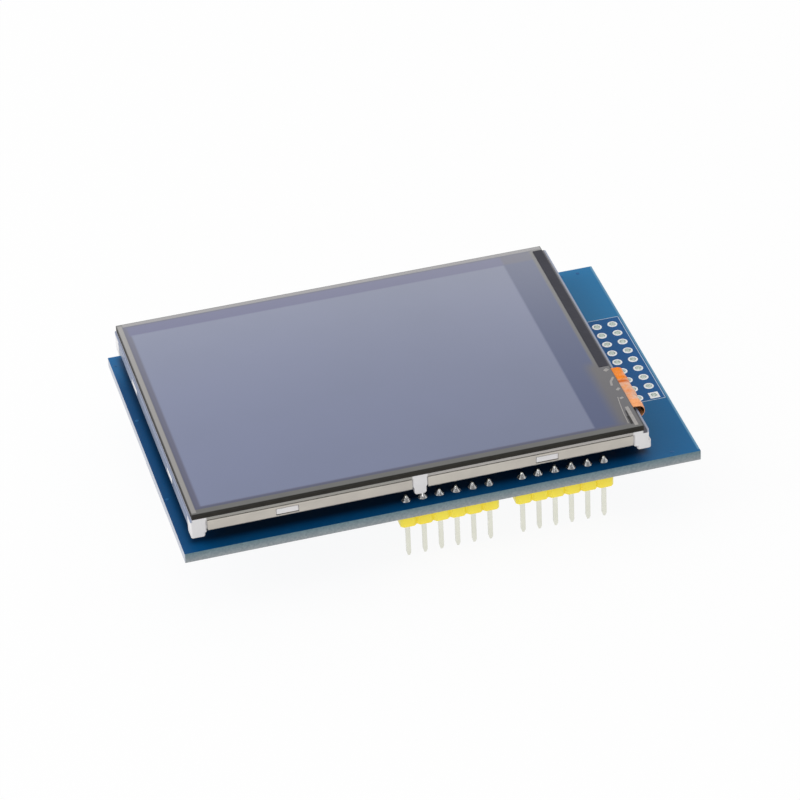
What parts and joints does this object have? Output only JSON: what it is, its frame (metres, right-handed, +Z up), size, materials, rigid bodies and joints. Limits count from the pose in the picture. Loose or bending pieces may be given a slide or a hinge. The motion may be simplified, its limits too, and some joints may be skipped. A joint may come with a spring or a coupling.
{
  "type": "tft display module",
  "caption": "Flat colour touch display in a steel tray, mounted on a blue plug-in circuit board with yellow pin headers below and spare plated holes at one end.",
  "frame": {"origin": "centre of the board's outline, at the height of the pin tips, which are the lowest points", "axes": "+X along the board towards the end with the spare holes, +Y from the power and analog pin row towards the digital pin row, +Z up through the screen"},
  "size_m": [0.079, 0.053, 0.0162],
  "materials": {
    "solder_mask_board": "blue solder mask on glass fibre laminate, satin gloss",
    "tinned_metal": "solder and tin plate, bright with small ripples",
    "foam_tape": "closed-cell foam, matt",
    "steel_sheet": "cold-rolled stainless sheet, satin",
    "white_frame_plastic": "white moulded polycarbonate, satin",
    "reflector_film": "white reflector film",
    "clear_sheet": "clear acrylic light guide, polished",
    "diffuser_sheet": "milky diffusing film",
    "lamp_plastic": "white lamp package with yellow phosphor",
    "flex_polyimide": "orange polyimide over copper tracks, glossy",
    "polarizer_sheet": "dark polarizing film, anti-glare",
    "cell_glass": "thin display glass, polished",
    "silicon_chip": "bare silicon, polished",
    "black_gasket": "black double-sided adhesive ring",
    "touch_panel_glass": "clear touch glass with a dark edge",
    "touch_panel_film": "clear touch film over the dark display, glossy",
    "black_tape": "thin black tape, satin",
    "black_moulding": "black moulding compound, fine matt",
    "gold_contacts": "gold-plated spring strip",
    "capacitor_ceramic": "brown ceramic",
    "resistor_ceramic": "black-glazed chip resistor",
    "yellow_housing": "yellow moulded nylon, satin gloss"
  },
  "bodies": {
    "root": {"circuit_board": "solder_mask_board", "plated_holes": "tinned_metal", "foam_tape": "foam_tape", "steel_tray": "steel_sheet", "plastic_frame": "white_frame_plastic", "backlight_reflector": "reflector_film", "light_guide": "clear_sheet", "diffuser_film": "diffuser_sheet", "lower_prism_film": "diffuser_sheet", "upper_prism_film": "diffuser_sheet", "backlight_leds": "lamp_plastic", "led_flex": "flex_polyimide", "rear_polarizer": "polarizer_sheet", "tft_glass": "cell_glass", "cover_glass": "cell_glass", "front_polarizer": "polarizer_sheet", "driver_chip": "silicon_chip", "display_flex": "flex_polyimide", "flex_solder": "tinned_metal", "touch_gasket": "black_gasket", "touch_glass": "touch_panel_glass", "touch_spacer": "black_gasket", "touch_film": "touch_panel_film", "edge_tape": "black_tape", "touch_tail": "flex_polyimide", "card_socket_body": "black_moulding", "card_socket_shell": "steel_sheet", "card_socket_contacts": "gold_contacts", "regulator_body": "black_moulding", "regulator_leads": "tinned_metal", "capacitor_bodies": "capacitor_ceramic", "capacitor_ends": "tinned_metal", "resistor_bodies": "resistor_ceramic", "resistor_ends": "tinned_metal", "power_header_housing": "yellow_housing", "power_header_pins": "tinned_metal", "power_header_solder": "tinned_metal", "analog_header_housing": "yellow_housing", "analog_header_pins": "tinned_metal", "analog_header_solder": "tinned_metal", "low_digital_header_housing": "yellow_housing", "low_digital_header_pins": "tinned_metal", "low_digital_header_solder": "tinned_metal", "high_digital_header_housing": "yellow_housing", "high_digital_header_pins": "tinned_metal", "high_digital_header_solder": "tinned_metal", "left_level_shifter_body": "black_moulding", "left_level_shifter_leads": "tinned_metal", "right_level_shifter_body": "black_moulding", "right_level_shifter_leads": "tinned_metal"}
  },
  "joints": []
}
